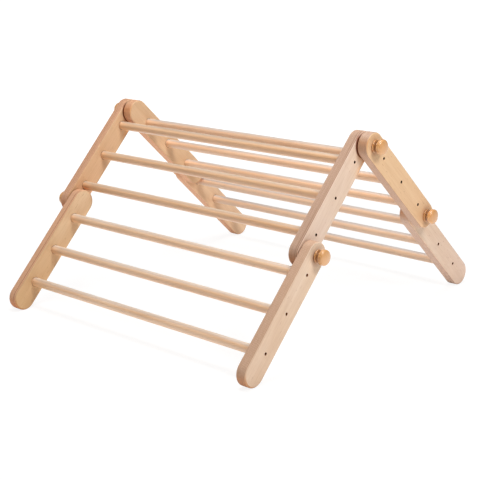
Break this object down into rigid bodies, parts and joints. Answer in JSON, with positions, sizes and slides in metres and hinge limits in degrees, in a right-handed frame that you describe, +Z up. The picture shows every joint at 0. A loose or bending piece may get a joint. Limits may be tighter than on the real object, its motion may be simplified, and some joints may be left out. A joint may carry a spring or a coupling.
{
  "type": "folding climbing triangle",
  "caption": "Folding wooden climbing triangle for children: hinged ladder sections with round rungs between plywood rails, clamped at apex and knees by turned wooden knobs.",
  "frame": {"origin": "floor level, at the centre of the footprint, under the apex", "axes": "+X along the rungs, +Y from the front side to the rear side, +Z up"},
  "size_m": [1.001, 1.0098, 0.5334],
  "materials": {
    "rail_plywood": "birch plywood, clear matt lacquer, softened edges",
    "rung_wood": "turned hardwood dowel, clear satin lacquer",
    "knob_wood": "turned hardwood, honey lacquer, semi-gloss",
    "rung_screw": "dark phosphated steel",
    "zinc_steel": "zinc plated",
    "spacer_nylon": "dark moulded nylon",
    "brass_insert": "machined brass"
  },
  "bodies": {
    "front_upper": {"front_upper_rail_left": "rail_plywood", "front_upper_rail_right": "rail_plywood", "front_upper_rung_1": "rung_wood", "front_upper_rung_2": "rung_wood", "front_upper_rung_3": "rung_wood", "front_upper_screws": "rung_screw", "apex_right_insert": "brass_insert", "apex_right_spacer": "spacer_nylon", "front_knee_right_insert": "brass_insert", "front_knee_right_spacer": "spacer_nylon"},
    "rear_upper": {"rear_upper_rail_left": "rail_plywood", "rear_upper_rail_right": "rail_plywood", "rear_upper_rung_1": "rung_wood", "rear_upper_rung_2": "rung_wood", "rear_upper_rung_3": "rung_wood", "rear_upper_screws": "rung_screw", "apex_left_insert": "brass_insert", "apex_left_spacer": "spacer_nylon", "rear_knee_left_insert": "brass_insert", "rear_knee_left_spacer": "spacer_nylon"},
    "front_lower": {"front_lower_rail_left": "rail_plywood", "front_lower_rail_right": "rail_plywood", "front_lower_rung_1": "rung_wood", "front_lower_rung_2": "rung_wood", "front_lower_rung_3": "rung_wood", "front_lower_screws": "rung_screw", "front_knee_left_insert": "brass_insert", "front_knee_left_spacer": "spacer_nylon"},
    "rear_lower": {"rear_lower_rail_left": "rail_plywood", "rear_lower_rail_right": "rail_plywood", "rear_lower_rung_1": "rung_wood", "rear_lower_rung_2": "rung_wood", "rear_lower_rung_3": "rung_wood", "rear_lower_screws": "rung_screw", "rear_knee_right_insert": "brass_insert", "rear_knee_right_spacer": "spacer_nylon"},
    "apex_left_washer": {"apex_left_washer": "zinc_steel"},
    "apex_left_knob": {"apex_left_knob": "knob_wood", "apex_left_stud": "zinc_steel"},
    "apex_right_washer": {"apex_right_washer": "zinc_steel"},
    "apex_right_knob": {"apex_right_knob": "knob_wood", "apex_right_stud": "zinc_steel"},
    "front_knee_left_washer": {"front_knee_left_washer": "zinc_steel"},
    "front_knee_left_knob": {"front_knee_left_knob": "knob_wood", "front_knee_left_stud": "zinc_steel"},
    "front_knee_right_washer": {"front_knee_right_washer": "zinc_steel"},
    "front_knee_right_knob": {"front_knee_right_knob": "knob_wood", "front_knee_right_stud": "zinc_steel"},
    "rear_knee_left_washer": {"rear_knee_left_washer": "zinc_steel"},
    "rear_knee_left_knob": {"rear_knee_left_knob": "knob_wood", "rear_knee_left_stud": "zinc_steel"},
    "rear_knee_right_washer": {"rear_knee_right_washer": "zinc_steel"},
    "rear_knee_right_knob": {"rear_knee_right_knob": "knob_wood", "rear_knee_right_stud": "zinc_steel"}
  },
  "joints": [
    {"name": "apex_fold", "type": "hinge", "parent": "front_upper", "child": "rear_upper", "pos_m": [0, 0, 0.49842], "axis": [1, 0, 0], "range_deg": [-30, 208.5]},
    {"name": "front_knee_fold", "type": "hinge", "parent": "front_upper", "child": "front_lower", "pos_m": [0, -0.23497, 0.26671], "axis": [1, 0, 0], "range_deg": [-119, 119]},
    {"name": "rear_knee_fold", "type": "hinge", "parent": "rear_upper", "child": "rear_lower", "pos_m": [0, 0.23497, 0.26671], "axis": [-1, 0, 0], "range_deg": [-119, 119]},
    {"name": "apex_left_washer_slide", "type": "slide", "parent": "rear_upper", "child": "apex_left_washer", "axis": [-1, 0, 0], "range_m": [0, 0.00187]},
    {"name": "apex_left_knob_turn", "type": "hinge", "parent": "apex_left_washer", "child": "apex_left_knob", "pos_m": [-0.47, 0, 0.49842], "axis": [-1, 0, 0], "range_deg": [0, 545]},
    {"name": "apex_right_washer_slide", "type": "slide", "parent": "front_upper", "child": "apex_right_washer", "axis": [1, 0, 0], "range_m": [0, 0.00187]},
    {"name": "apex_right_knob_turn", "type": "hinge", "parent": "apex_right_washer", "child": "apex_right_knob", "pos_m": [0.47, 0, 0.49842], "axis": [1, 0, 0], "range_deg": [0, 545]},
    {"name": "front_knee_left_washer_slide", "type": "slide", "parent": "front_lower", "child": "front_knee_left_washer", "axis": [-1, 0, 0], "range_m": [0, 0.00187]},
    {"name": "front_knee_left_knob_turn", "type": "hinge", "parent": "front_knee_left_washer", "child": "front_knee_left_knob", "pos_m": [-0.47, -0.23497, 0.26671], "axis": [-1, 0, 0], "range_deg": [0, 545]},
    {"name": "front_knee_right_washer_slide", "type": "slide", "parent": "front_upper", "child": "front_knee_right_washer", "axis": [1, 0, 0], "range_m": [0, 0.00187]},
    {"name": "front_knee_right_knob_turn", "type": "hinge", "parent": "front_knee_right_washer", "child": "front_knee_right_knob", "pos_m": [0.47, -0.23497, 0.26671], "axis": [1, 0, 0], "range_deg": [0, 545]},
    {"name": "rear_knee_left_washer_slide", "type": "slide", "parent": "rear_upper", "child": "rear_knee_left_washer", "axis": [-1, 0, 0], "range_m": [0, 0.00187]},
    {"name": "rear_knee_left_knob_turn", "type": "hinge", "parent": "rear_knee_left_washer", "child": "rear_knee_left_knob", "pos_m": [-0.47, 0.23497, 0.26671], "axis": [-1, 0, 0], "range_deg": [0, 545]},
    {"name": "rear_knee_right_washer_slide", "type": "slide", "parent": "rear_lower", "child": "rear_knee_right_washer", "axis": [1, 0, 0], "range_m": [0, 0.00187]},
    {"name": "rear_knee_right_knob_turn", "type": "hinge", "parent": "rear_knee_right_washer", "child": "rear_knee_right_knob", "pos_m": [0.47, 0.23497, 0.26671], "axis": [1, 0, 0], "range_deg": [0, 545]}
  ],
  "couplings": [
    {"joint": "apex_left_knob_turn", "follows": "apex_left_washer_slide", "rad_per_m": 5026.5},
    {"joint": "apex_right_knob_turn", "follows": "apex_right_washer_slide", "rad_per_m": 5026.5},
    {"joint": "front_knee_left_knob_turn", "follows": "front_knee_left_washer_slide", "rad_per_m": 5026.5},
    {"joint": "front_knee_right_knob_turn", "follows": "front_knee_right_washer_slide", "rad_per_m": 5026.5},
    {"joint": "rear_knee_left_knob_turn", "follows": "rear_knee_left_washer_slide", "rad_per_m": 5026.5},
    {"joint": "rear_knee_right_knob_turn", "follows": "rear_knee_right_washer_slide", "rad_per_m": 5026.5}
  ]
}
